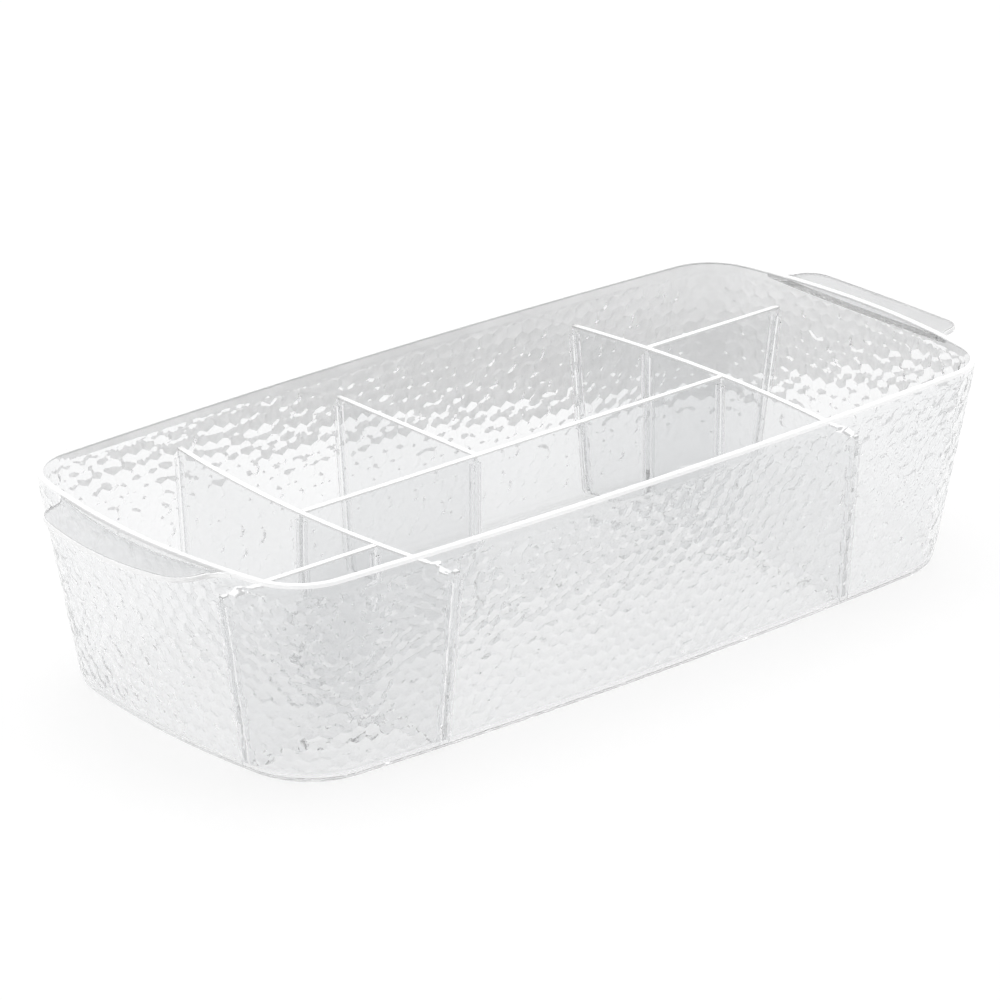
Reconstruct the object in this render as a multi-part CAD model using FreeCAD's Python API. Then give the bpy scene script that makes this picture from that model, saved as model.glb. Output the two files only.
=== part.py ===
import FreeCAD, Part
import math
import os

# A clear open bin with a flared, bowed wall, a scooped lip at each end, and six
# upright divider plates that stand on its floor and lift straight out of guides.
# Millimetres. +X runs along the length, +Y to the rear wall, +Z up.
# The origin is at the middle of the underside.

# Bin outline at the rim, measured over the walls without the lips
height = 90.0
rim_length = 392.5
rim_width = 182.5
rim_side_bow = 6.5
rim_end_bow = 13.5
rim_corner_radius = 26.0

# Bin outline at the underside, before its edge is rounded
base_length = 364.0
base_width = 166.5
base_side_bow = 7.0
base_end_bow = 9.0
base_corner_radius = 32.0

# Bin walls and rounds
wall = 2.6
floor_thickness = 2.6
base_round = 4.5
inside_round = 3.0

# Lip at each end: its reach past the rim, its plan, and how far its top lies under the rim
lip_reach = 17.0
lip_half_width = 46.0
lip_edge_bow = 5.0
lip_corner_radius = 12.0
lip_blend_radius = 10.0
lip_thickness = 2.4
lip_middle_drop = 3.6
lip_end_drop = 0.6

# Divider plates
divider_top = 77.0
plate = 2.4
cross_apex = 113.5
cross_bow = 8.0
short_divider_x = -22.0
end_divider_y = 45.0

# Guides that hold the plates upright
guide_thickness = 1.0
guide_depth = 1.8
guide_top_gap = 4.0

# Gap left round a sliding plate, and how far cutting shapes pass what they cut
clearance = 0.35
overrun = 10.0


def point(x, y, z):
    return FreeCAD.Vector(x, y, z)


def between(low, high, share):
    return low + (high - low) * share


def bow_radius(half_chord, bow):
    return (half_chord ** 2 + bow ** 2) / (2 * bow)


def circles_meet(first, first_radius, second, second_radius):
    """The two points that lie at these distances from two centres."""
    across = second[0] - first[0]
    up = second[1] - first[1]
    span = math.hypot(across, up)
    along = (first_radius ** 2 - second_radius ** 2 + span ** 2) / (2 * span)
    aside = math.sqrt(first_radius ** 2 - along ** 2)
    return [
        (
            first[0] + (along * across - sign * aside * up) / span,
            first[1] + (along * up + sign * aside * across) / span,
        )
        for sign in (-1, 1)
    ]


def turn_to(centre, spot):
    return math.atan2(spot[1] - centre[1], spot[0] - centre[0])


def round_spot(centre, radius, turn):
    return (centre[0] + radius * math.cos(turn), centre[1] + radius * math.sin(turn))


def arc_edge(spots, z, x_sign=1, y_sign=1):
    """Arc through three plan spots at height z, mirrored where a sign is negative."""
    return Part.Arc(*[point(x_sign * x, y_sign * y, z) for x, y in spots]).toShape()


def arc_spots(centre, radius, start, end):
    return [round_spot(centre, radius, turn) for turn in (start, (start + end) / 2, end)]


def bin_outline(z, inset=0):
    """Bowed rectangle with round corners at height z, offset inwards by inset."""
    share = z / height
    half_length = between(base_length, rim_length, share) / 2
    half_width = between(base_width, rim_width, share) / 2
    side_radius = bow_radius(half_length, between(base_side_bow, rim_side_bow, share))
    end_radius = bow_radius(half_width, between(base_end_bow, rim_end_bow, share))
    corner_radius = between(base_corner_radius, rim_corner_radius, share)
    side_centre = (0, half_width - side_radius)
    end_centre = (half_length - end_radius, 0)
    corner_centre = max(
        circles_meet(
            side_centre, side_radius - corner_radius, end_centre, end_radius - corner_radius
        ),
        key=sum,
    )
    side_turn = turn_to(side_centre, corner_centre)
    end_turn = turn_to(end_centre, corner_centre)
    side = arc_spots(side_centre, side_radius - inset, math.pi - side_turn, side_turn)
    corner = arc_spots(corner_centre, corner_radius - inset, side_turn, end_turn)
    end = arc_spots(end_centre, end_radius - inset, end_turn, -end_turn)
    return Part.Wire([
        arc_edge(side, z),
        arc_edge(corner, z),
        arc_edge(end, z),
        arc_edge(corner[::-1], z, y_sign=-1),
        arc_edge(side[::-1], z, y_sign=-1),
        arc_edge(corner, z, x_sign=-1, y_sign=-1),
        arc_edge(end[::-1], z, x_sign=-1),
        arc_edge(corner[::-1], z, x_sign=-1),
    ])


def bin_loft(low, high, inset=0):
    return Part.makeLoft([bin_outline(low, inset), bin_outline(high, inset)], True, True)


def rounded_below(solid, radius):
    bottom = solid.BoundBox.ZMin
    edges = [edge for edge in solid.Edges if edge.BoundBox.ZMax - bottom < radius / 2]
    return solid.makeFillet(radius, edges)


def block(x_low, x_high, y_low, y_high, z_low, z_high):
    corner = point(x_low, y_low, z_low)
    return Part.makeBox(x_high - x_low, y_high - y_low, z_high - z_low, corner)


# Levels and arcs that several pieces share
floor_top = floor_thickness
guide_top = divider_top - guide_top_gap
guide_gap = plate / 2 + clearance
guide_reach = guide_gap + guide_thickness
cross_radius = bow_radius(rim_width / 2, cross_bow)
long_reach = rim_length
wide_reach = rim_width


def cross_x(y):
    """Distance from the middle to a cross divider's mid plane at this y."""
    return cross_apex - (cross_radius - math.sqrt(cross_radius ** 2 - y ** 2))


def cross_disc(side, offset, low, high):
    """Round block inside the cross divider's arc, its radius grown by offset."""
    centre = point(side * (cross_apex - cross_radius), 0, low)
    return Part.makeCylinder(cross_radius + offset, high - low, centre)


def cross_band(side, inner, outer, low, high):
    return cross_disc(side, outer, low, high).cut(cross_disc(side, inner, low, high))


def lip(side):
    """Scooped lip, lowest at its middle: a bowed sheet trimmed to a rounded plan."""
    edge_x = rim_length / 2 + lip_reach
    edge_radius = bow_radius(lip_half_width, lip_edge_bow)
    edge_centre = (edge_x - edge_radius, 0)
    wall_radius = bow_radius(rim_width / 2, rim_end_bow)
    wall_centre = (rim_length / 2 - wall_radius, 0)
    corner_y = lip_half_width - lip_corner_radius
    corner_reach = edge_radius - lip_corner_radius
    corner_centre = (edge_centre[0] + math.sqrt(corner_reach ** 2 - corner_y ** 2), corner_y)
    blend_centre = max(
        circles_meet(
            wall_centre, wall_radius + lip_blend_radius,
            corner_centre, lip_corner_radius + lip_blend_radius,
        ),
        key=lambda spot: spot[1],
    )
    corner_turn = turn_to(edge_centre, corner_centre)
    meeting_turn = turn_to(corner_centre, blend_centre)
    wall_turn = turn_to(wall_centre, blend_centre)
    edge = arc_spots(edge_centre, edge_radius, -corner_turn, corner_turn)
    corner = arc_spots(corner_centre, lip_corner_radius, corner_turn, meeting_turn)
    blend = arc_spots(blend_centre, lip_blend_radius, meeting_turn - math.pi, wall_turn - math.pi)

    # The plan starts on a line safely inside the end wall
    root_x = rim_length / 2 - rim_end_bow - wall
    end_x, end_y = blend[2]
    plan_edges = [
        arc_edge(edge, 0, x_sign=side),
        Part.makeLine(point(side * root_x, -end_y, 0), point(side * root_x, end_y, 0)),
    ]
    for sign in (-1, 1):
        plan_edges.append(arc_edge(corner, 0, x_sign=side, y_sign=sign))
        plan_edges.append(arc_edge(blend, 0, x_sign=side, y_sign=sign))
        plan_edges.append(Part.makeLine(
            point(side * root_x, sign * end_y, 0), point(side * end_x, sign * end_y, 0)
        ))
    plan = Part.Face(Part.Wire(Part.__sortEdges__(plan_edges)))

    # The sheet hangs between the two ends of the plan
    end_z = height - lip_end_drop
    middle_z = height - lip_middle_drop
    spots = ((-end_y, end_z), (0, middle_z), (end_y, end_z))
    arcs = [
        Part.Arc(*[point(0, y, z - depth) for y, z in spots]).toShape()
        for depth in (0, lip_thickness)
    ]
    ends = [
        Part.makeLine(point(0, y, end_z), point(0, y, end_z - lip_thickness))
        for y in (-end_y, end_y)
    ]
    section = Part.Face(Part.Wire(Part.__sortEdges__(arcs + ends)))
    sheet = section.extrude(point(side * long_reach, 0, 0))
    return sheet.common(plan.extrude(point(0, 0, height)))


def wall_guides():
    """Upright guide ribs for every plate end that meets a bin wall, not yet trimmed to depth."""
    low = -overrun
    ribs = []
    for side in (-1, 1):
        ribs.append(cross_band(side, guide_gap, guide_reach, low, guide_top))
        ribs.append(cross_band(side, -guide_reach, -guide_gap, low, guide_top))
    for sign in (-1, 1):
        inner, outer = sorted((sign * guide_gap, sign * guide_reach))
        ribs.append(block(
            short_divider_x + inner, short_divider_x + outer, 0, wide_reach, low, guide_top
        ))
        for side in (-1, 1):
            x_low, x_high = sorted((side * cross_apex, side * long_reach))
            y_middle = side * end_divider_y
            ribs.append(block(x_low, x_high, y_middle + inner, y_middle + outer, low, guide_top))
    return ribs


def make_bin():
    outer = rounded_below(bin_loft(0, height), base_round)
    cavity = rounded_below(bin_loft(floor_top, height + overrun, wall), inside_round)
    core = bin_loft(-overrun, height + overrun, wall + guide_depth)
    for rib in wall_guides():
        cavity = cavity.cut(rib.cut(core))
    for side in (-1, 1):
        outer = outer.fuse(lip(side))
    return outer.cut(cavity)


def plate_space():
    """The room that plates may fill: the cavity less a clearance at its walls."""
    return rounded_below(bin_loft(floor_top, divider_top, wall + clearance), inside_round)


def plate_guides(spots):
    """Pairs of ribs on a plate: each spot gives the x and y range of one rib."""
    return [block(*spot, floor_top, guide_top) for spot in spots]


def cross_divider(side, space):
    body = cross_band(side, -plate / 2, plate / 2, floor_top, divider_top).common(space)
    for sign in (-1, 1):
        inner, outer = sorted((sign * guide_gap, sign * guide_reach))
        centre_root = side * cross_x(0)
        centre_tip = side * (cross_x(0) - plate / 2 - guide_depth)
        end_y = side * end_divider_y
        end_root = side * cross_x(end_divider_y)
        end_tip = side * (cross_x(end_divider_y) + plate / 2 + guide_depth)
        for rib in plate_guides([
            (*sorted((centre_root, centre_tip)), inner, outer),
            (*sorted((end_root, end_tip)), end_y + inner, end_y + outer),
        ]):
            body = body.fuse(rib)
    return body.removeSplitter()


def centre_divider():
    body = block(-long_reach, long_reach, -plate / 2, plate / 2, floor_top, divider_top)
    for side in (-1, 1):
        body = body.common(cross_disc(side, -plate / 2 - clearance, floor_top, divider_top))
    for sign in (-1, 1):
        inner, outer = sorted((sign * guide_gap, sign * guide_reach))
        spot = (short_divider_x + inner, short_divider_x + outer, 0, plate / 2 + guide_depth)
        body = body.fuse(plate_guides([spot])[0])
    return body.removeSplitter()


def rear_short_divider(space):
    face_y = plate / 2 + clearance
    half = plate / 2
    body = block(
        short_divider_x - half, short_divider_x + half, face_y, wide_reach, floor_top, divider_top
    )
    return body.common(space)


def end_divider(side, space):
    x_low, x_high = sorted((0, side * long_reach))
    y_middle = side * end_divider_y
    body = block(
        x_low, x_high, y_middle - plate / 2, y_middle + plate / 2, floor_top, divider_top
    )
    return body.common(space).cut(cross_disc(side, plate / 2 + clearance, 0, height))


space = plate_space()
nodes = {
    "bin": make_bin(),
    "left_cross_divider": cross_divider(-1, space),
    "right_cross_divider": cross_divider(1, space),
    "centre_divider": centre_divider(),
    "rear_short_divider": rear_short_divider(space),
    "left_end_divider": end_divider(-1, space),
    "right_end_divider": end_divider(1, space),
}

os.makedirs("parts", exist_ok=True)
for name, shape in nodes.items():
    print(name, "solids", len(shape.Solids), "valid", shape.isValid(), "volume", round(shape.Volume))
    shape.exportStep(f"parts/{name}.step")
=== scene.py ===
# %% [markdown]
# # A clear divided vanity organizer
# The object is an open bin of clear plastic with flared, hammered walls, a smooth rim, a scooped
# lip at each end and six clear plates that split it into compartments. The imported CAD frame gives
# the true sizes. Blender adds what a plain solid lacks: the facets of the outer wall, the softened
# edges, and plastic that bends light. Everything is in metres, in the frame's own axes.

import math

import bmesh
import bpy
import numpy as np
from mathutils import Matrix, Vector


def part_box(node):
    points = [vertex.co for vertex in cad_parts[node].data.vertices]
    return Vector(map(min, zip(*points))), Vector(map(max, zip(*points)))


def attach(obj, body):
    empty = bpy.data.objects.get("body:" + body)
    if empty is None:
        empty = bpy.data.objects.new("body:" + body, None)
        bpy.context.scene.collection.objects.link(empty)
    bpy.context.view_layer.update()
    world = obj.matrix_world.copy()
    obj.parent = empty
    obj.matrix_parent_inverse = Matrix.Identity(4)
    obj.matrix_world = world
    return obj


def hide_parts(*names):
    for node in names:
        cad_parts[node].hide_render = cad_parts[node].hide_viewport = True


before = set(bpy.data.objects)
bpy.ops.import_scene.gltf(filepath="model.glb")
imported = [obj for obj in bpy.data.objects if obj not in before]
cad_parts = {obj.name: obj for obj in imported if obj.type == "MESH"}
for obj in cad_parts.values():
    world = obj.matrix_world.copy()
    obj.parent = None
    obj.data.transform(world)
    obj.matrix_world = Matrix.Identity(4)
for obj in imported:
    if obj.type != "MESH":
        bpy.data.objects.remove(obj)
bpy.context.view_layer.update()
print("CAD nodes:", ", ".join(sorted(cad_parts)))

# %% [markdown]
# ## Sizes of the bin
# The wall is a ruled surface between two bowed outlines: a smaller one at the base and a larger
# one at the rim. The overall height comes from the frame; the rest are the few driving sizes that
# the outline rule needs. Naming them once keeps every later step short.

# %% Driving sizes
mm = 0.001
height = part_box("bin")[1].z
wall = 2.6 * mm
floor_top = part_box("centre_divider")[0].z
divider_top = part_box("centre_divider")[1].z
base_round = 4.5 * mm
inside_round = 3.0 * mm

base_outline = {"length": 364 * mm, "width": 166.5 * mm, "side_bow": 7 * mm,
                "end_bow": 9 * mm, "corner": 32 * mm}
rim_outline = {"length": 392.5 * mm, "width": 182.5 * mm, "side_bow": 6.5 * mm,
               "end_bow": 13.5 * mm, "corner": 26 * mm}
print(f"height {height / mm:.1f} mm, plates {floor_top / mm:.1f} to {divider_top / mm:.1f} mm")

# %% [markdown]
# ## The outline rule
# Each quarter of the outline is three arcs that flow into one another: half a long side, a corner
# and half an end. A spot is named by its share of one full turn, so the same share at the base and
# at the rim can be joined by a straight line. All those lines together are the flared wall.

# %% Arcs of one quarter
def bow_radius(half_chord, bow):
    return (half_chord ** 2 + bow ** 2) / (2 * bow)


def circles_meet(first, first_radius, second, second_radius):
    """The two points at these distances from two centres."""
    across, up = second[0] - first[0], second[1] - first[1]
    span = math.hypot(across, up)
    along = (first_radius ** 2 - second_radius ** 2 + span ** 2) / (2 * span)
    aside = math.sqrt(first_radius ** 2 - along ** 2)
    return [(first[0] + (along * across - sign * aside * up) / span,
             first[1] + (along * up + sign * aside * across) / span) for sign in (-1, 1)]


def turn_to(centre, spot):
    return math.atan2(spot[1] - centre[1], spot[0] - centre[0])


def quarter_arcs(outline):
    """Centre, radius, first turn and last turn of the side, corner and end arcs."""
    half_length, half_width = outline["length"] / 2, outline["width"] / 2
    side_radius = bow_radius(half_length, outline["side_bow"])
    end_radius = bow_radius(half_width, outline["end_bow"])
    side_centre, end_centre = (0.0, half_width - side_radius), (half_length - end_radius, 0.0)
    corner = outline["corner"]
    corner_centre = max(circles_meet(side_centre, side_radius - corner,
                                     end_centre, end_radius - corner), key=sum)
    side_turn, end_turn = turn_to(side_centre, corner_centre), turn_to(end_centre, corner_centre)
    return [(side_centre, side_radius, math.pi / 2, side_turn),
            (corner_centre, corner, side_turn, end_turn),
            (end_centre, end_radius, end_turn, 0.0)]


def arc_lengths(outline):
    return np.array([radius * abs(last - first)
                     for _, radius, first, last in quarter_arcs(outline)])


mean_lengths = (arc_lengths(base_outline) + arc_lengths(rim_outline)) / 2
girth = 4 * mean_lengths.sum()
arc_breaks = np.concatenate([[0.0], np.cumsum(mean_lengths) / mean_lengths.sum()])
print(f"mean girth of the wall {girth / mm:.0f} mm")


# %% Spots on the wall
def around(shares, outline, inset):
    """Plan spots at these shares of a turn, from the rear middle clockwise, moved in by inset."""
    turn = np.asarray(shares, float) % 1.0 * 4
    quarter = np.minimum(turn.astype(int), 3)
    along = np.where(quarter % 2 == 0, turn - quarter, 1 - (turn - quarter))
    spots = np.zeros((len(turn), 2))
    for k, (centre, radius, first, last) in enumerate(quarter_arcs(outline)):
        part = (along >= arc_breaks[k]) & (along <= arc_breaks[k + 1] + 1e-12)
        share = (along[part] - arc_breaks[k]) / (arc_breaks[k + 1] - arc_breaks[k])
        angle = first + (last - first) * share
        spots[part, 0] = centre[0] + (radius - inset) * np.cos(angle)
        spots[part, 1] = centre[1] + (radius - inset) * np.sin(angle)
    spots[:, 0] *= np.where(quarter < 2, 1, -1)
    spots[:, 1] *= np.where((quarter == 0) | (quarter == 3), 1, -1)
    return spots


def wall_spots(shares, levels, inset=0.0):
    """Points of the flared wall at these shares of a turn and heights."""
    levels = np.broadcast_to(np.asarray(levels, float), np.shape(shares))
    low, high = around(shares, base_outline, inset), around(shares, rim_outline, inset)
    plan = low + (high - low) * (levels / height)[:, None]
    return np.column_stack([plan, levels])


def wall_normals(shares, levels):
    """Unit vectors square to the wall, pointing out of the bin."""
    step = 0.5 * mm
    ahead = wall_spots(shares + step / girth, levels) - wall_spots(shares - step / girth, levels)
    upward = wall_spots(shares, levels + step) - wall_spots(shares, levels - step)
    square = np.cross(upward, ahead)
    return square / np.linalg.norm(square, axis=1)[:, None]


corner_check = wall_spots(np.array([0.0, 0.25]), height)
print("rim reach:", [f"{abs(v) / mm:.1f}" for v in (corner_check[1, 0], corner_check[0, 1])], "mm")

# %% [markdown]
# ## Clear plastic
# Bin and plates are drawn as one clear moulding resin. The bin is almost without colour, clearest in
# its floor, and the plates are a little greyer, partly as painted reflection. The rims, the lips'
# outer edges and the plates' tops get painted edge light: a mostly diffuse white that stands in
# for the light that runs inside the sheet and comes out there, and for the highlights on those
# edges. The lips have a satin surface.
# Roughness and a very slight unevenness come from noise on Object coordinates, so they stay put.

# %% Material builders
resin_index = 1.52
gloss_scale, gloss_detail, flow_detail = 60.0, 3.0, 2.0


def noise_on(tree, scale, detail):
    """Noise that is fixed to the piece."""
    place = tree.nodes.new("ShaderNodeTexCoord")
    noise = tree.nodes.new("ShaderNodeTexNoise")
    noise.inputs["Scale"].default_value = scale
    noise.inputs["Detail"].default_value = detail
    tree.links.new(place.outputs["Object"], noise.inputs["Vector"])
    return noise


def moulded_plastic(name, colour, transmission, roughness, flow_scale, flow_depth):
    """Clear resin with patchy gloss and the faint ripples of plastic that flowed into a mould."""
    material = bpy.data.materials.new(name)
    material.use_nodes = True
    tree = material.node_tree
    shader = tree.nodes["Principled BSDF"]
    shader.inputs["Base Color"].default_value = (*colour, 1.0)
    shader.inputs["Transmission Weight"].default_value = transmission
    shader.inputs["IOR"].default_value = resin_index
    gloss = tree.nodes.new("ShaderNodeMapRange")
    gloss.inputs["To Min"].default_value, gloss.inputs["To Max"].default_value = roughness
    tree.links.new(noise_on(tree, gloss_scale, gloss_detail).outputs["Fac"], gloss.inputs["Value"])
    tree.links.new(gloss.outputs["Result"], shader.inputs["Roughness"])
    ripple = tree.nodes.new("ShaderNodeBump")
    ripple.inputs["Strength"].default_value = 1.0
    ripple.inputs["Distance"].default_value = flow_depth
    tree.links.new(noise_on(tree, flow_scale, flow_detail).outputs["Fac"], ripple.inputs["Height"])
    tree.links.new(ripple.outputs["Normal"], shader.inputs["Normal"])
    return material


# %% Finishes of bin and plates
polished, satin, frosted = (0.0, 0.05), (0.12, 0.18), (0.12, 0.3)
# Painted edge light: a plain white that stands in for light leaving the sheet's edges and for their
# highlights
painted_edge_light = (1.0, 1.0, 1.0)
bin_clear = moulded_plastic("bin_clear_plastic", (0.94, 0.943, 0.946), transmission=1.0,
                            roughness=polished, flow_scale=250.0, flow_depth=0.03 * mm)
bin_sole = moulded_plastic("bin_clear_floor", (0.985, 0.988, 0.99), transmission=1.0,
                           roughness=polished, flow_scale=35.0, flow_depth=0.03 * mm)
# The rim's finish is painted edge light, a mostly diffuse white
bin_rim_painted_light = moulded_plastic("bin_rim_with_painted_light", painted_edge_light, transmission=0.25,
                           roughness=frosted, flow_scale=90.0, flow_depth=0.02 * mm)
bin_lip = moulded_plastic("bin_satin_lip", (0.96, 0.965, 0.97), transmission=1.0,
                          roughness=satin, flow_scale=35.0, flow_depth=0.02 * mm)
# The lip edge's finish is painted edge light, a mostly diffuse white
lip_edge_painted_light = moulded_plastic("bin_lip_edge_with_painted_light", painted_edge_light, transmission=0.35,
                                  roughness=frosted, flow_scale=90.0, flow_depth=0.02 * mm)
# A slight grey tint of the resin, made greyer than the bin's as painted reflection of the darker
# surroundings on the plates' faces
plate_tint_and_painted_grey = moulded_plastic("plate_clear_plastic_with_painted_grey", (0.91, 0.913, 0.916), transmission=1.0,
                              roughness=polished, flow_scale=25.0, flow_depth=0.03 * mm)
# The plate tops' finish is painted edge light, a mostly diffuse white
plate_top_painted_light = moulded_plastic("plate_top_with_painted_light", painted_edge_light, transmission=0.1,
                             roughness=frosted, flow_scale=90.0, flow_depth=0.02 * mm)
print("materials:", [m.name for m in bpy.data.materials if m.name.startswith(("bin_", "plate_"))])

# %% [markdown]
# ## The hammered sheet, laid flat
# The outside of the wall is covered in small domes that meet in creases, about seven millimetres
# across, like rain on glass or beaten metal. Each dome is a little lens. Bump could bend light too,
# but the mesh itself would stay smooth, so Geometry Nodes makes real domes on a flat sheet: a shaken
# lattice of centres, its dual mesh (which turns each centre into a many-sided cell), finer faces
# inside every cell, and a height that falls with the square of the distance from the cell's own
# centre. The sheet is rolled up afterwards.

# %% A lattice of facet centres
facet_columns = 140
facet_rows = 17
foot_margin = 0.5 * mm
top_margin = 4.5 * mm
sheet_low = base_round + foot_margin
sheet_high = height - top_margin
column_step = girth / facet_columns
row_step = (sheet_high - sheet_low) / facet_rows
spare_columns = 2


def lattice_sheet():
    """Staggered triangles, with spare columns at both ends so that the pattern can join up."""
    columns = range(-spare_columns, facet_columns + spare_columns)
    across = len(columns)
    points, faces, site, inside, freedom = [], [], [], [], []
    for row in range(facet_rows + 1):
        for column in columns:
            points.append(((column + 0.5 * (row % 2)) * column_step, sheet_low + row * row_step, 0))
            site.append(row * facet_columns + column % facet_columns)
            inside.append(0 <= column < facet_columns)
            freedom.append(0 < row < facet_rows)
    for row in range(facet_rows):
        for k in range(across - 1):
            a, b = row * across + k, row * across + k + 1
            c, d = a + across, b + across
            faces += [(a, b, c), (b, d, c)] if row % 2 == 0 else [(a, d, c), (a, b, d)]
    mesh = bpy.data.meshes.new("facet_lattice")
    mesh.from_pydata(points, [], faces)
    for name, kind, values in (("site", "INT", site), ("inside", "FLOAT", inside),
                               ("freedom", "FLOAT", freedom)):
        mesh.attributes.new(name, kind, "POINT").data.foreach_set("value", values)
    return bpy.data.objects.new("facet_lattice", mesh)


lattice = lattice_sheet()
bpy.context.scene.collection.objects.link(lattice)
print(f"{facet_columns * (facet_rows + 1)} facets, {column_step / mm:.1f} by {row_step / mm:.1f} mm")


# %% The tree that makes the domes
def add_input(tree, name, kind, value):
    socket = tree.interface.new_socket(name, in_out="INPUT", socket_type=kind)
    socket.default_value = value


def node(tree, kind, **settings):
    made = tree.nodes.new(kind)
    for key, value in settings.items():
        setattr(made, key, value)
    return made


def named_value(tree, name, kind):
    made = node(tree, "GeometryNodeInputNamedAttribute", data_type=kind)
    made.inputs["Name"].default_value = name
    return made.outputs["Attribute"]


def random_vector(tree, reach, seed):
    """A sideways vector for each facet, the same wherever the facet's number is the same."""
    made = node(tree, "FunctionNodeRandomValue", data_type="FLOAT_VECTOR")
    made.inputs["Min"].default_value = (-1, -1, 0)
    made.inputs["Max"].default_value = (1, 1, 0)
    tree.links.new(named_value(tree, "site", "INT"), made.inputs["ID"])
    tree.links.new(seed, made.inputs["Seed"])
    scaled = node(tree, "ShaderNodeVectorMath", operation="SCALE")
    tree.links.new(made.outputs["Value"], scaled.inputs[0])
    tree.links.new(reach, scaled.inputs["Scale"])
    return scaled.outputs["Vector"]


def maths(tree, operation, first, second=None):
    """One Math node; an argument may be a number or another node's output."""
    made = node(tree, "ShaderNodeMath", operation=operation)
    for socket, value in zip(made.inputs, (first, second)):
        if isinstance(value, float):
            socket.default_value = value
        elif value is not None:
            tree.links.new(value, socket)
    return made.outputs[0]


def product(tree, first, second):
    return maths(tree, "MULTIPLY", first, second)


def position_of(tree):
    return node(tree, "GeometryNodeInputPosition").outputs["Position"]


def keep_value(tree, shape, name, kind, domain, value):
    """Stores a field under a name and passes the geometry on."""
    store = node(tree, "GeometryNodeStoreNamedAttribute", data_type=kind, domain=domain)
    store.inputs["Name"].default_value = name
    tree.links.new(shape, store.inputs["Geometry"])
    tree.links.new(value, store.inputs["Value"])
    return store.outputs["Geometry"]


def slow_wave(tree, start, parts):
    """Slow unevenness that varies the domes and closes on itself round the bin."""
    turn = product(tree, maths(tree, "DIVIDE", parts.outputs["X"], start.outputs["Girth"]), math.tau)
    radius = maths(tree, "DIVIDE", start.outputs["Girth"], math.tau)
    place = node(tree, "ShaderNodeCombineXYZ")
    tree.links.new(product(tree, radius, maths(tree, "COSINE", turn)), place.inputs["X"])
    tree.links.new(product(tree, radius, maths(tree, "SINE", turn)), place.inputs["Y"])
    tree.links.new(parts.outputs["Y"], place.inputs["Z"])
    noise = node(tree, "ShaderNodeTexNoise")
    noise.inputs["Detail"].default_value = 0.0
    tree.links.new(place.outputs["Vector"], noise.inputs["Vector"])
    tree.links.new(start.outputs["Wave Scale"], noise.inputs["Scale"])
    return product(tree, maths(tree, "SUBTRACT", noise.outputs["Fac"], 0.5), start.outputs["Wave Height"])


def fade_at_edges(tree, start, parts):
    """Nothing at the sheet's lower and upper edge, one from a fade's width inwards."""
    above = maths(tree, "SUBTRACT", parts.outputs["Y"], start.outputs["Low Edge"])
    below = maths(tree, "SUBTRACT", start.outputs["High Edge"], parts.outputs["Y"])
    ramp = node(tree, "ShaderNodeMapRange", interpolation_type="SMOOTHSTEP")
    tree.links.new(maths(tree, "MINIMUM", above, below), ramp.inputs["Value"])
    tree.links.new(start.outputs["Fade"], ramp.inputs["From Max"])
    return ramp.outputs["Result"]


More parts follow.
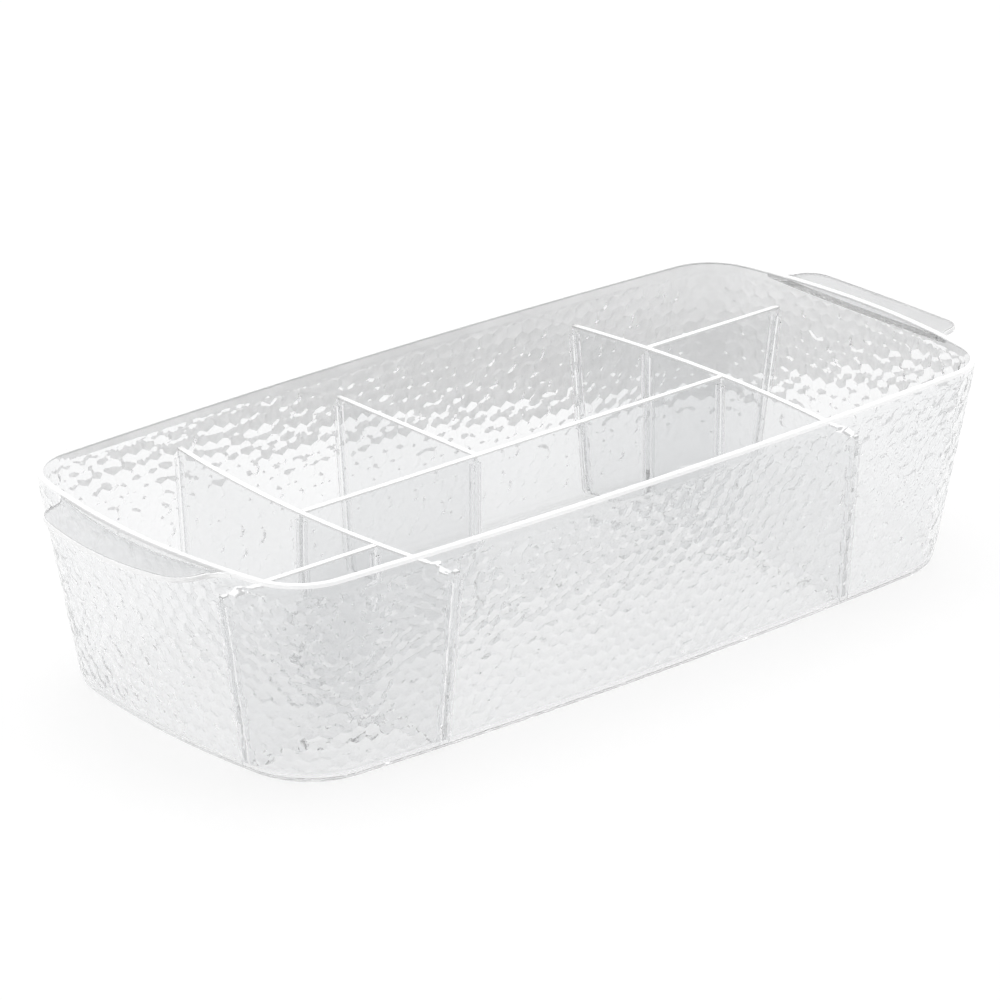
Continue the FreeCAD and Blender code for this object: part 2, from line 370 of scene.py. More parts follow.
def hammered_tree():
    tree = bpy.data.node_groups.new("hammered_domes", "GeometryNodeTree")
    tree.interface.new_socket("Geometry", in_out="INPUT", socket_type="NodeSocketGeometry")
    for name in ("Jitter", "Dome Height", "Dome Radius", "Wave Height", "Wave Scale", "Girth",
                 "Low Edge", "High Edge", "Fade"):
        add_input(tree, name, "NodeSocketFloat", 0.0)
    add_input(tree, "Fineness", "NodeSocketInt", 2)
    add_input(tree, "Seed", "NodeSocketInt", 11)
    add_input(tree, "Finish", "NodeSocketMaterial", None)
    tree.interface.new_socket("Geometry", in_out="OUTPUT", socket_type="NodeSocketGeometry")
    start, end = node(tree, "NodeGroupInput"), node(tree, "NodeGroupOutput")

    # Shake the lattice, remember each centre, then turn every centre into a cell of finer faces
    shake = product(tree, start.outputs["Jitter"], named_value(tree, "freedom", "FLOAT"))
    move = node(tree, "GeometryNodeSetPosition")
    tree.links.new(start.outputs["Geometry"], move.inputs["Geometry"])
    tree.links.new(random_vector(tree, shake, start.outputs["Seed"]), move.inputs["Offset"])
    cells = node(tree, "GeometryNodeDualMesh")
    cells.inputs["Keep Boundaries"].default_value = True
    tree.links.new(keep_value(tree, move.outputs["Geometry"], "centre", "FLOAT_VECTOR", "POINT",
                              position_of(tree)), cells.inputs["Mesh"])
    finer = node(tree, "GeometryNodeSubdivideMesh")
    tree.links.new(cells.outputs["Dual Mesh"], finer.inputs["Mesh"])
    tree.links.new(start.outputs["Fineness"], finer.inputs["Level"])

    # On a face corner the distance is to that face's own centre; a shared point takes their mean
    away = node(tree, "ShaderNodeVectorMath", operation="DISTANCE")
    tree.links.new(position_of(tree), away.inputs[0])
    tree.links.new(named_value(tree, "centre", "FLOAT_VECTOR"), away.inputs[1])
    reach = maths(tree, "DIVIDE", away.outputs["Value"], start.outputs["Dome Radius"])
    marked = keep_value(tree, finer.outputs["Mesh"], "fall", "FLOAT", "CORNER",
                        product(tree, reach, reach))

    # Raise the domes
    parts = node(tree, "ShaderNodeSeparateXYZ")
    tree.links.new(position_of(tree), parts.inputs[0])
    left = maths(tree, "SUBTRACT", 1.0, named_value(tree, "fall", "FLOAT"))
    dome = product(tree, left, start.outputs["Dome Height"])
    relief = product(tree, maths(tree, "ADD", dome, slow_wave(tree, start, parts)),
                     fade_at_edges(tree, start, parts))
    upward = node(tree, "ShaderNodeCombineXYZ")
    tree.links.new(relief, upward.inputs["Z"])
    lift = node(tree, "GeometryNodeSetPosition")
    tree.links.new(marked, lift.inputs["Geometry"])
    tree.links.new(upward.outputs["Vector"], lift.inputs["Offset"])

    # Drop the spare columns and finish
    spare = node(tree, "FunctionNodeCompare", data_type="FLOAT", operation="LESS_THAN")
    tree.links.new(named_value(tree, "inside", "FLOAT"), spare.inputs["A"])
    spare.inputs["B"].default_value = 0.5
    trim = node(tree, "GeometryNodeDeleteGeometry", domain="FACE")
    tree.links.new(lift.outputs["Geometry"], trim.inputs["Geometry"])
    tree.links.new(spare.outputs["Result"], trim.inputs["Selection"])
    whole = node(tree, "GeometryNodeRealizeInstances")
    finish = node(tree, "GeometryNodeSetMaterial")
    tree.links.new(trim.outputs["Geometry"], whole.inputs["Geometry"])
    tree.links.new(whole.outputs["Geometry"], finish.inputs["Geometry"])
    tree.links.new(start.outputs["Finish"], finish.inputs["Material"])
    tree.links.new(finish.outputs["Geometry"], end.inputs["Geometry"])
    return tree


# %% Run the tree
def plain_mesh(carrier, tree, values):
    """Runs a tree on an object and gives the result back as a plain mesh."""
    modifier = carrier.modifiers.new(tree.name, "NODES")
    modifier.node_group = tree
    for socket in tree.interface.items_tree:
        if socket.in_out == "INPUT" and socket.name in values:
            modifier[socket.identifier] = values[socket.name]
    seen = carrier.evaluated_get(bpy.context.evaluated_depsgraph_get())
    mesh = bpy.data.meshes.new_from_object(seen)
    carrier.modifiers.remove(modifier)
    return mesh


flat_sheet = plain_mesh(lattice, hammered_tree(), {
    "Jitter": 1.9 * mm, "Dome Height": 0.36 * mm, "Dome Radius": 3.6 * mm, "Wave Height": 0.3 * mm,
    "Wave Scale": 90.0, "Girth": girth, "Low Edge": sheet_low, "High Edge": sheet_high,
    "Fade": 2.0 * mm, "Fineness": 2, "Seed": 11, "Finish": bin_clear})
bpy.data.objects.remove(lattice)
print(f"flat sheet: {len(flat_sheet.vertices)} points, {len(flat_sheet.polygons)} faces")

# %% [markdown]
# ## Roll the sheet into the wall
# The flat sheet's width is the girth of the bin, so a facet's place along it is a share of a turn
# and its height is a height on the wall. Each point is moved to that spot and pushed out by its
# own relief. The two ends of the sheet carry the same facets, so they meet without a seam.

# %% Roll and join
merge_reach = 0.01 * mm


class Skin:
    """Points and faces of a closed skin, gathered step by step."""

    def __init__(self):
        self.points, self.faces, self.finishes = [], [], []

    def add_points(self, points):
        first = len(self.points)
        self.points += [tuple(p) for p in points]
        return list(range(first, len(self.points)))

    def add_face(self, corners, finish=0):
        self.faces.append(tuple(corners))
        self.finishes.append(finish)

    def add_band(self, low, high, finish=0, closed=True):
        count = len(low)
        for k in range(count if closed else count - 1):
            after = (k + 1) % count
            self.add_face((low[k], low[after], high[after], high[k]), finish)

    def as_object(self, name, finishes):
        mesh = bpy.data.meshes.new(name)
        mesh.from_pydata(self.points, [], self.faces)
        for finish in finishes:
            mesh.materials.append(finish)
        mesh.polygons.foreach_set("material_index", self.finishes)
        shell = bmesh.new()
        shell.from_mesh(mesh)
        bmesh.ops.remove_doubles(shell, verts=shell.verts, dist=merge_reach)
        bmesh.ops.recalc_face_normals(shell, faces=shell.faces)
        shell.to_mesh(mesh)
        shell.free()
        made = bpy.data.objects.new(name, mesh)
        bpy.context.scene.collection.objects.link(made)
        return made


def open_edges(thing):
    shell = bmesh.new()
    shell.from_mesh(thing.data)
    count = sum(not edge.is_manifold for edge in shell.edges)
    shell.free()
    return count


skin = Skin()
flat = np.array([v.co for v in flat_sheet.vertices])
shares = flat[:, 0] / girth
rolled = wall_spots(shares, flat[:, 1]) + wall_normals(shares, flat[:, 1]) * flat[:, 2:3]
sheet_points = skin.add_points(rolled)
for polygon in flat_sheet.polygons:
    skin.add_face([sheet_points[k] for k in polygon.vertices])


def sheet_edge(level):
    """Shares of a turn of the points on the sheet's edge at this level, once round."""
    on_edge = abs(flat[:, 1] - level) < merge_reach
    return np.unique(np.round(shares[on_edge] % 1.0, 7) % 1.0)


top_shares, bottom_shares = sheet_edge(sheet_high), sheet_edge(sheet_low)
print(f"points on the sheet's top edge {len(top_shares)}, bottom edge {len(bottom_shares)}")

# %% [markdown]
# ## The smooth rest of the shell
# Above the facets the wall is smooth: a narrow band, a rounded rim, the inner wall, the round at
# the inside of the floor and the floor. Below them come the rounded base edge and the underside.
# Each is a ring of points at a height and an inset, and neighbouring rings are joined by faces.

# %% Rings of the shell
def quarter_round(steps):
    """Cosine and sine from zero to a quarter turn, without the ends."""
    turns = [math.pi / 2 * k / steps for k in range(1, steps)]
    return [(math.cos(t), math.sin(t)) for t in turns]


# Finish 1 on the rim's band, rounds and top is the painted edge light
wall_finish, painted_light_rim, sole_finish = 0, 1, 2
rim_round = 0.6 * mm
rim_band = 1.8 * mm
rim_steps, inside_steps, base_steps = 3, 6, 4
rim_rings = [(height - rim_band, 0.0, wall_finish), (height - rim_round, 0.0, painted_light_rim)]
rim_rings += [(height - rim_round * (1 - s), rim_round * (1 - c), painted_light_rim)
              for c, s in quarter_round(rim_steps)]
rim_rings += [(height, rim_round, painted_light_rim), (height, wall - rim_round, painted_light_rim)]
rim_rings += [(height - rim_round * (1 - c), wall - rim_round * (1 - s), painted_light_rim)
              for c, s in quarter_round(rim_steps)]
rim_rings += [(height - rim_round, wall, painted_light_rim)]
# A round between a floor and a wall that leans out ends nearer to the corner than its radius
leaning_share = 0.85
inside_reach = leaning_share * inside_round
inner_rings = [(floor_top + inside_reach, wall, wall_finish)]
inner_rings += [(floor_top + inside_reach * (1 - s), wall + inside_reach * (1 - c), wall_finish)
                for c, s in quarter_round(inside_steps)]
inner_rings += [(floor_top, wall + inside_reach, wall_finish)]
base_rings = [(base_round, 0.0, wall_finish)]
base_rings += [(base_round * (1 - s), base_round * (1 - c), wall_finish)
               for c, s in quarter_round(base_steps)]
base_rings += [(0.0, base_round, wall_finish)]


def add_rings(edge_shares, edge_level, rings):
    """Bands from the sheet's edge through every ring; the last ring is closed by one face."""
    before = skin.add_points(wall_spots(edge_shares, edge_level))
    for level, inset, finish in rings:
        ring = skin.add_points(wall_spots(edge_shares, level, inset))
        skin.add_band(before, ring, finish)
        before = ring
    skin.add_face(before, sole_finish)


add_rings(top_shares, sheet_high, rim_rings + inner_rings)
add_rings(bottom_shares, sheet_low, base_rings)
bin_shell = skin.as_object("bin_shell", [bin_clear, bin_rim_painted_light, bin_sole])
print(f"bin shell: {len(bin_shell.data.polygons)} faces, open edges {open_edges(bin_shell)}")

# %% [markdown]
# ## The scooped lips
# At each end a thin lip reaches out from the rim as a grip. It hangs a little below the rim in the
# middle and rises to it at its ends, like a shallow scoop. Its plan flows from the end wall through
# a hollow curve and a round corner into a long bowed edge. Here the edge is a list of spots, and
# the lip is a sheet between that edge and a line inside the wall, with its outer edge rounded.

# %% Plan of a lip
lip_reach = 17 * mm
lip_half_width = 46 * mm
lip_edge_bow = 5 * mm
lip_corner = 12 * mm
lip_blend = 10 * mm
lip_thickness = 2.4 * mm
lip_middle_drop = 3.6 * mm
lip_end_drop = 0.6 * mm
lip_edge_round = 0.9 * mm
lip_root_share = 0.55
lip_edge_spots, lip_corner_spots, lip_round_steps = 14, 9, 4
lip_plain_bands = 3


def arc_points(centre, radius, first, last, steps):
    return [(centre[0] + radius * math.cos(t), centre[1] + radius * math.sin(t))
            for t in np.linspace(first, last, steps)]


def lip_edge():
    """Plan spots of the lip's outer edge, from the front of the end wall to the rear."""
    edge_radius = bow_radius(lip_half_width, lip_edge_bow)
    edge_centre = (rim_outline["length"] / 2 + lip_reach - edge_radius, 0.0)
    wall_centre, wall_radius = quarter_arcs(rim_outline)[2][:2]
    corner_y = lip_half_width - lip_corner
    corner_centre = (edge_centre[0] + math.sqrt((edge_radius - lip_corner) ** 2 - corner_y ** 2), corner_y)
    blend_centre = max(circles_meet(wall_centre, wall_radius + lip_blend,
                                    corner_centre, lip_corner + lip_blend), key=lambda s: s[1])
    corner_turn = turn_to(edge_centre, corner_centre)
    meeting_turn = turn_to(corner_centre, blend_centre)
    wall_turn = turn_to(wall_centre, blend_centre)
    rear = arc_points(edge_centre, edge_radius, 0.0, corner_turn, lip_edge_spots)
    rear += arc_points(corner_centre, lip_corner, corner_turn, meeting_turn, lip_corner_spots)[1:]
    rear += arc_points(blend_centre, lip_blend, meeting_turn - math.pi, wall_turn - math.pi,
                       lip_corner_spots)[1:]
    front = [(x, -y) for x, y in rear[1:]][::-1]
    return np.array(front + rear)


outer_spots = lip_edge()
print(f"lip edge: {len(outer_spots)} spots, reaching {outer_spots[:, 0].max() / mm:.1f} mm")


# %% Sheet of a lip
def lip_level(y):
    """Height of the lip's top: a shallow arc, lowest in the middle."""
    end_y, drop = outer_spots[-1, 1], lip_middle_drop - lip_end_drop
    radius = bow_radius(end_y, drop)
    return height - lip_middle_drop + radius - np.sqrt(radius ** 2 - np.minimum(abs(y), end_y) ** 2)


def lip_object(name, side):
    along = np.gradient(outer_spots, axis=0)
    along /= np.linalg.norm(along, axis=1)[:, None]
    outward = np.column_stack([along[:, 1], -along[:, 0]])
    wall_centre, wall_radius = quarter_arcs(rim_outline)[2][:2]
    root = outer_spots - wall_centre
    root *= ((wall_radius - lip_root_share * wall) / np.linalg.norm(root, axis=1))[:, None]
    root += wall_centre
    turns = [(0.0, 1.0)] + quarter_round(lip_round_steps)[::-1] + [(1.0, 0.0)]
    fold = [(1 - c, 1 - s) for c, s in turns]
    rows = [(root, 0.0), ((root + outer_spots) / 2, 0.0)]
    rows += [(outer_spots - outward * lip_edge_round * i, lip_edge_round * d) for i, d in fold]
    rows += [(outer_spots - outward * lip_edge_round * i, lip_thickness - lip_edge_round * d)
             for i, d in fold[::-1]]
    rows += [((root + outer_spots) / 2, lip_thickness), (root, lip_thickness)]
    sheet = Skin()
    rings = []
    for plan, depth in rows:
        level = lip_level(plan[:, 1]) - depth
        rings.append(sheet.add_points(np.column_stack([side * plan[:, 0], plan[:, 1], level])))
    for k, (low, high) in enumerate(zip(rings, rings[1:])):
        # The bands round the lip's outer edge get the painted edge light
        on_edge = lip_plain_bands <= k < len(rings) - lip_plain_bands
        sheet.add_band(low, high, finish=int(on_edge), closed=False)
    sheet.add_band(rings[-1], rings[0], closed=False)
    for end in (0, -1):
        sheet.add_face([ring[end] for ring in rings])
    return sheet.as_object(name, [bin_lip, lip_edge_painted_light])


lips = [lip_object("left_lip", -1), lip_object("right_lip", 1)]
print("lips:", [(l.name, len(l.data.polygons), open_edges(l)) for l in lips])

# %% [markdown]
# ## Guide ribs
# Where a plate meets a wall, two small upright ribs hold it. They repeat round the bin, so a
# Geometry Nodes tree sets one small bar on each of a handful of points. Every point carries the
# turn that stands its bar along the leaning wall and points it along the plate. The cross dividers
# are bowed, so their ribs stand on arcs about the same centre, or they would cut into the plates.

# %% Where the ribs stand
plate = 2.4 * mm
clearance = 0.35 * mm
guide_thickness = 1.0 * mm
guide_depth = 1.8 * mm
guide_root = 1.0 * mm
guide_top_gap = 4 * mm
guide_top = divider_top - guide_top_gap
guide_offset = plate / 2 + clearance + guide_thickness / 2
cross_apex = 113.5 * mm
cross_bow = 8 * mm
cross_radius = bow_radius(rim_outline["width"] / 2, cross_bow)
short_divider_x = -22 * mm
end_divider_y = 45 * mm
trial_spots = 4001


def straight_line(value):
    """A rib's line, seen from above, beside a straight plate: one coordinate stays the same."""
    return lambda other: value + 0 * other


def cross_line(side, offset):
    """A rib's line beside a cross divider: x for a given y, on an arc about the divider's centre."""
    return lambda y: side * (cross_apex - cross_radius + np.sqrt((cross_radius + offset) ** 2 - y ** 2))


def line_spot(axis, line, other):
    spot = Vector((0, 0, 0))
    spot[axis], spot[1 - axis] = line(other), other
    return spot


def share_where(axis, line, level, low, high):
    """Share of a turn, between two shares, where the inner wall crosses a rib's line."""
    trial = np.linspace(low, high, trial_spots)
    spots = wall_spots(trial, level, wall)
    return trial[np.argmin(abs(spots[:, axis] - line(spots[:, 1 - axis])))]


def rib_places():
    """For every rib: which coordinate its line gives, the line, and the part of the turn to look in."""
    quarters = ((1, (0.0, 0.25)), (1, (0.25, 0.5)), (-1, (0.5, 0.75)), (-1, (0.75, 1.0)))
    places = []
    for offset in (-guide_offset, guide_offset):
        for side, quarter in quarters:
            places.append((0, cross_line(side, offset), *quarter))
        for side, quarter in ((1, (0.125, 0.25)), (-1, (0.625, 0.75))):
            places.append((1, straight_line(side * end_divider_y + offset), *quarter))
        places.append((0, straight_line(short_divider_x + offset), 0.75, 1.0))
    return places


def rib_carrier():
    middles, turns = [], []
    rib_levels = (floor_top - guide_root, guide_top)
    rib_length = rib_levels[1] - rib_levels[0]
    for axis, line, low, high in rib_places():
        shares = [share_where(axis, line, level, low, high) for level in rib_levels]
        foot, top = (Vector(wall_spots(np.array([share]), level, wall)[0])
                     for share, level in zip(shares, rib_levels))
        upward = (top - foot).normalized()
        at_wall = foot[1 - axis]
        further_in = at_wall - math.copysign(guide_depth, at_wall)
        along_plate = line_spot(axis, line, further_in) - line_spot(axis, line, at_wall)
        sideways = along_plate.cross(upward).normalized()
        inward = upward.cross(sideways)
        middles.append((foot + top) / 2 + inward * (guide_depth - guide_root) / 2)
        turns.append(Matrix((sideways, inward, upward)).transposed().to_euler())
    mesh = bpy.data.meshes.new("rib_places")
    mesh.from_pydata(middles, [], [])
    turn_values = mesh.attributes.new("turn", "FLOAT_VECTOR", "POINT")
    turn_values.data.foreach_set("vector", [angle for turn in turns for angle in turn])
    carrier = bpy.data.objects.new("rib_places", mesh)
    bpy.context.scene.collection.objects.link(carrier)
    return carrier, rib_length


rib_points, rib_length = rib_carrier()
rib_size = (guide_thickness, guide_depth + guide_root, rib_length)
print(f"{len(rib_points.data.vertices)} ribs, {rib_length / mm:.1f} mm long")


# %% The tree that sets the ribs
def rib_tree():
    tree = bpy.data.node_groups.new("guide_ribs", "GeometryNodeTree")
    tree.interface.new_socket("Geometry", in_out="INPUT", socket_type="NodeSocketGeometry")
    add_input(tree, "Rib Size", "NodeSocketVector", rib_size)
    add_input(tree, "Finish", "NodeSocketMaterial", None)
    tree.interface.new_socket("Geometry", in_out="OUTPUT", socket_type="NodeSocketGeometry")
    start, end = node(tree, "NodeGroupInput"), node(tree, "NodeGroupOutput")
    bar = node(tree, "GeometryNodeMeshCube")
    tree.links.new(start.outputs["Rib Size"], bar.inputs["Size"])
    stand = node(tree, "GeometryNodeInstanceOnPoints")
    tree.links.new(start.outputs["Geometry"], stand.inputs["Points"])
    tree.links.new(bar.outputs["Mesh"], stand.inputs["Instance"])
    euler = node(tree, "FunctionNodeEulerToRotation")
    tree.links.new(named_value(tree, "turn", "FLOAT_VECTOR"), euler.inputs["Euler"])
    tree.links.new(euler.outputs["Rotation"], stand.inputs["Rotation"])
    whole, finish = node(tree, "GeometryNodeRealizeInstances"), node(tree, "GeometryNodeSetMaterial")
    tree.links.new(stand.outputs["Instances"], whole.inputs["Geometry"])
    tree.links.new(whole.outputs["Geometry"], finish.inputs["Geometry"])
    tree.links.new(start.outputs["Finish"], finish.inputs["Material"])
    tree.links.new(finish.outputs["Geometry"], end.inputs["Geometry"])
    return tree


rib_mesh = plain_mesh(rib_points, rib_tree(), {"Rib Size": rib_size, "Finish": bin_clear})
bpy.data.objects.remove(rib_points)
ribs = bpy.data.objects.new("guide_ribs", rib_mesh)
bpy.context.scene.collection.objects.link(ribs)
print(f"ribs: {len(rib_mesh.polygons)} faces")

# %% [markdown]
# ## One moulding
# The shell, lips and ribs are taken as one piece of plastic. Where see-through solids only overlap,
# light bends at faces that should not be there, so they are joined into one closed skin.

# %% Join the bin
def union(body, tools):
    for tool in tools:
        step = body.modifiers.new(tool.name, "BOOLEAN")
        step.operation, step.solver, step.object = "UNION", "MANIFOLD", tool
        step.material_mode = "TRANSFER"
    seen = body.evaluated_get(bpy.context.evaluated_depsgraph_get())
    mesh = bpy.data.meshes.new_from_object(seen)
    body.modifiers.clear()
    for tool in tools:
        bpy.data.objects.remove(tool)
    return mesh


def true_shading(piece, angle):
    """Smooth shading below this angle, with large flat faces kept optically flat."""
    mesh = piece.data
    mesh.polygons.foreach_set("use_smooth", [True] * len(mesh.polygons))
    mesh.set_sharp_from_angle(angle=angle)
    weigh = piece.modifiers.new("flat_faces_lead", "WEIGHTED_NORMAL")
    weigh.mode, weigh.weight, weigh.keep_sharp = "FACE_AREA", 50, True
    seen = piece.evaluated_get(bpy.context.evaluated_depsgraph_get())
    piece.data = bpy.data.meshes.new_from_object(seen)
    piece.modifiers.clear()


dome_crease = math.radians(7)
bin_visual = bpy.data.objects.new("hammered_bin", union(bin_shell, lips + [ribs]))
bpy.context.scene.collection.objects.link(bin_visual)
bpy.data.objects.remove(bin_shell)
true_shading(bin_visual, dome_crease)
print(f"bin: {len(bin_visual.data.polygons)} faces, open edges {open_edges(bin_visual)}")

# %% [markdown]
# ## The divider plates
# The plates are flat or gently bowed sheets with small ribs of their own. Their CAD shapes are
# right, so each is a merged copy of the CAD mesh with its edges softened by a small bevel, which
# catches the light as a moulded edge does. A strip along the top gets painted edge light: a
# mostly diffuse white that stands in for light leaving the plate's top and for its highlights.
# Under each plate is a hair of air, as there is between any two hard pieces. Without it, the
# plate's underside and the floor would lie in one plane and light could not tell them apart.

# %% Plates from the frame
plate_names = ["left_cross_divider", "right_cross_divider", "centre_divider",
               "rear_short_divider", "left_end_divider", "right_end_divider"]
plate_round = 0.3 * mm
# Height of the top strip that gets the painted edge light
painted_light_strip = 0.9 * mm
air_film = 0.03 * mm
weld_reach = 0.001 * mm
flat_angle, bevel_angle, plate_crease = math.radians(0.4), math.radians(35), math.radians(30)


def softened_plate(name):
    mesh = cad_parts[name].data.copy()
    mesh.name = name + "_plate"
    mesh.materials.clear()
    shell = bmesh.new()
    shell.from_mesh(mesh)
    bmesh.ops.remove_doubles(shell, verts=shell.verts, dist=weld_reach)
    bmesh.ops.dissolve_limit(shell, angle_limit=flat_angle, verts=shell.verts, edges=shell.edges)
    bmesh.ops.bisect_plane(shell, geom=shell.verts[:] + shell.edges[:] + shell.faces[:],
                           plane_co=(0, 0, divider_top - painted_light_strip), plane_no=(0, 0, 1))
    for vertex in shell.verts:
        vertex.co.z = max(vertex.co.z, floor_top + air_film)
    shell.to_mesh(mesh)
    shell.free()
    piece = bpy.data.objects.new(name + "_plate", mesh)
    bpy.context.scene.collection.objects.link(piece)
    bevel = piece.modifiers.new("soft_edges", "BEVEL")
    bevel.width, bevel.segments, bevel.limit_method = plate_round, 2, "ANGLE"
    bevel.angle_limit = bevel_angle
    bevel.use_clamp_overlap = True
    seen = piece.evaluated_get(bpy.context.evaluated_depsgraph_get())
    piece.data = bpy.data.meshes.new_from_object(seen)
    piece.modifiers.clear()
    piece.data.materials.clear()
    for finish in (plate_tint_and_painted_grey, plate_top_painted_light):
        piece.data.materials.append(finish)
    # Faces in the top strip get the painted edge light
    for polygon in piece.data.polygons:
        polygon.material_index = int(polygon.center.z > divider_top - painted_light_strip)
    true_shading(piece, plate_crease)
    return piece


plates = {name: softened_plate(name) for name in plate_names}
for name, piece in plates.items():
    print(f"{name}: {len(piece.data.polygons)} faces, open edges {open_edges(piece)}")

# %% [markdown]
# ## Tie the pieces to the frame
# Every visual piece rides on the CAD body it belongs to and stands for that body's node.

# %% Ride and replace
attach(bin_visual, "bin")
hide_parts("bin")
for name, piece in plates.items():
    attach(piece, name)
    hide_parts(name)
print("tied:", 1 + len(plates), "pieces")

# %% [markdown]
# ## White floor
# Clear plastic is shown by what it bends, so the set matters as much as the material. The floor is
# plain white and reaches past the picture on every side. It shows white to the camera and in the
# plastic, and keeps a part of its own shading, so that the object's shadow stays. It lies a hair
# below the bin, so that the floor and the bin's underside do not share a plane.

# %% Floor
shown_white_share = 0.85
half_floor = 4.0
floor_level = -0.3 * mm


def studio_paint(name, colour, roughness):
    material = bpy.data.materials.new(name)
    material.use_nodes = True
    shader = material.node_tree.nodes["Principled BSDF"]
    shader.inputs["Base Color"].default_value = (*colour, 1.0)
    shader.inputs["Roughness"].default_value = roughness
    return material


def white_floor():
    """White to the camera and in the plastic, with a part of its own shading left for shadows."""
    material = studio_paint("white_floor", (0.93, 0.93, 0.93), 0.8)
    tree = material.node_tree
    rays = node(tree, "ShaderNodeLightPath").outputs
    seen = maths(tree, "MAXIMUM", rays["Is Camera Ray"], rays["Is Glossy Ray"])
    seen = maths(tree, "MAXIMUM", seen, rays["Is Transmission Ray"])
    white, mix = node(tree, "ShaderNodeEmission"), node(tree, "ShaderNodeMixShader")
    tree.links.new(product(tree, seen, shown_white_share), mix.inputs["Fac"])
    tree.links.new(tree.nodes["Principled BSDF"].outputs[0], mix.inputs[1])
    tree.links.new(white.outputs[0], mix.inputs[2])
    tree.links.new(mix.outputs[0], tree.nodes["Material Output"].inputs["Surface"])
    return material


def sheet_of(name, corners, paint):
    mesh = bpy.data.meshes.new(name)
    mesh.from_pydata(corners, [], [(0, 1, 2, 3)])
    mesh.materials.append(paint)
    made = bpy.data.objects.new(name, mesh)
    bpy.context.scene.collection.objects.link(made)
    return made


floor_corners = [(x * half_floor, y * half_floor, floor_level)
                 for x, y in ((-1, -1), (1, -1), (1, 1), (-1, 1))]
sheet_of("studio_floor", floor_corners, white_floor())
print(f"white floor, {2 * half_floor:.0f} m wide")

# %% [markdown]
# ## Grey card
# In the photograph the upper part of the far wall is grey, as if something darker stood beyond the
# white table. A card behind the bin does this here. The camera sees it only through plastic and in
# reflections, and it is uneven, so that the domes do not all show the same grey.

# %% Grey card
card_left, card_right = Vector((-0.4, 0.425, 0)), Vector((0.7, -0.084, 0))
card_height = Vector((0, 0, 0.7))
card_low, card_high = 25 * mm, 50 * mm
card_low_grey, card_high_grey = 0.65, 0.83
card_patch_depth, card_patch_scale, card_patch_detail = 0.3, 70.0, 3.0


def shaded_card():
    """Card that is greyer near the floor and a little uneven."""
    material = studio_paint("card_grey", (0.8, 0.8, 0.8), 0.9)
    tree = material.node_tree
    place, parts = node(tree, "ShaderNodeTexCoord"), node(tree, "ShaderNodeSeparateXYZ")
    tree.links.new(place.outputs["Object"], parts.inputs[0])
    rise = node(tree, "ShaderNodeMapRange")
    rise.inputs["From Min"].default_value, rise.inputs["From Max"].default_value = card_low, card_high
    rise.inputs["To Min"].default_value = card_low_grey
    rise.inputs["To Max"].default_value = card_high_grey
    tree.links.new(parts.outputs["Z"], rise.inputs["Value"])
    patches = node(tree, "ShaderNodeMath", operation="MULTIPLY_ADD")
    patches.inputs[1].default_value = card_patch_depth
    tree.links.new(noise_on(tree, card_patch_scale, card_patch_detail).outputs["Fac"], patches.inputs[0])
    tree.links.new(rise.outputs["Result"], patches.inputs[2])
    tree.links.new(patches.outputs[0], tree.nodes["Principled BSDF"].inputs["Base Color"])
    return material


card_corners = [card_left, card_right, card_right + card_height, card_left + card_height]
grey_card = sheet_of("grey_card", card_corners, shaded_card())
grey_card.visible_camera = grey_card.visible_shadow = grey_card.visible_diffuse = False
print(f"grey card, {(card_right - card_left).length:.2f} m long")

# %% [markdown]
# ## Soft light all round
# The light is bright on the far side and dimmer behind the camera. The dimmer part gives the clear
# edges something to bend, or they would vanish. One wide lamp above lights the white edges.

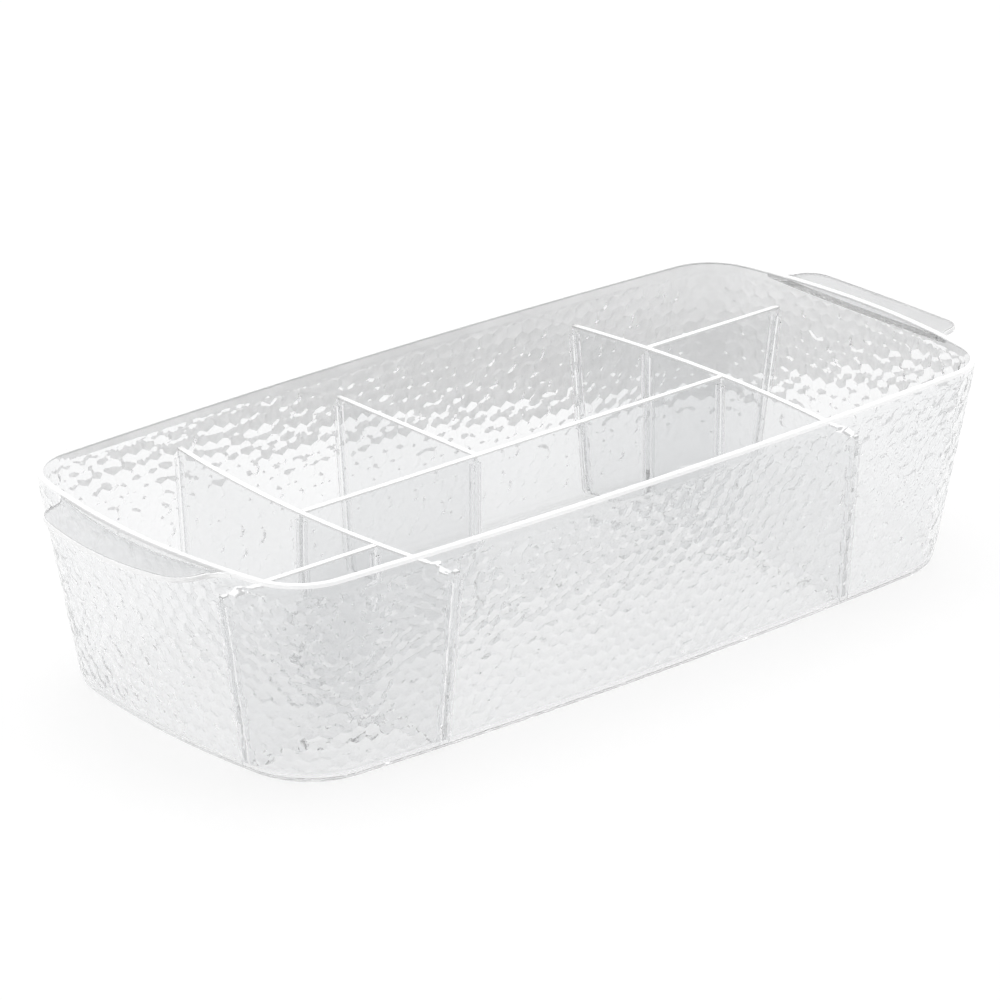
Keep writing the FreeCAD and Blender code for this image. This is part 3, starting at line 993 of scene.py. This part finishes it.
# %% World
dim_facing, bright_facing = -0.95, -0.2
dim_strength, bright_strength = 0.6, 0.95
azimuth = math.radians(-41.18)
into_picture = Vector((-math.sin(azimuth), math.cos(azimuth), 0))
world = bpy.data.worlds.new("studio")
bpy.context.scene.world = world
world.use_nodes = True
sky = world.node_tree
back = sky.nodes["Background"]
direction = node(sky, "ShaderNodeTexCoord")
facing = node(sky, "ShaderNodeVectorMath", operation="DOT_PRODUCT")
facing.inputs[1].default_value = into_picture
ramp = node(sky, "ShaderNodeMapRange")
ramp.inputs["From Min"].default_value, ramp.inputs["From Max"].default_value = dim_facing, bright_facing
ramp.inputs["To Min"].default_value, ramp.inputs["To Max"].default_value = dim_strength, bright_strength
sky.links.new(direction.outputs["Generated"], facing.inputs[0])
sky.links.new(facing.outputs["Value"], ramp.inputs["Value"])
sky.links.new(ramp.outputs["Result"], back.inputs["Strength"])
back.inputs["Color"].default_value = (1, 1, 1, 1)

# %% Lamp
lamp_place = Vector((0.2, 0.3, 1.9))
lamp_size, lamp_power = 1.6, 20.0
light = bpy.data.lights.new("top_lamp", "AREA")
light.shape, light.size, light.energy = "DISK", lamp_size, lamp_power
lamp = bpy.data.objects.new("top_lamp", light)
lamp.location = lamp_place
lamp.rotation_euler = (-lamp_place).to_track_quat("-Z", "Y").to_euler()
bpy.context.scene.collection.objects.link(lamp)
print(f"lamp {lamp_size:.1f} m wide, {lamp_place.z:.1f} m above the floor")

# %% [markdown]
# ## Camera
# The place, aim and lens come from fitting the bin's outline to the photograph. Light that runs
# along inside a plate is turned back at its faces many times, and a low limit on bounces would cut
# it off and leave dark patches, so the limits are high.

# %% Camera
aim = Vector((9.83, 22.05, 41.9)) * mm
elevation, distance = math.radians(22.19), 2401.5 * mm
back_way = Vector((math.sin(azimuth) * math.cos(elevation),
                   -math.cos(azimuth) * math.cos(elevation), math.sin(elevation)))
camera_data = bpy.data.cameras.new("photo_camera")
camera_data.sensor_width, camera_data.lens = 36.0, 211.19
camera = bpy.data.objects.new("photo_camera", camera_data)
camera.location = aim + back_way * distance
camera.rotation_euler = (-back_way).to_track_quat("-Z", "Y").to_euler()
bpy.context.scene.collection.objects.link(camera)
bpy.context.scene.camera = camera
bpy.context.scene.view_settings.view_transform = "Standard"
cycles = bpy.context.scene.cycles
cycles.max_bounces = 160
cycles.transmission_bounces = 64
cycles.glossy_bounces = 128
cycles.diffuse_bounces = 12
print(f"camera: lens {camera_data.lens:.1f} mm, {distance:.2f} m from its aim")
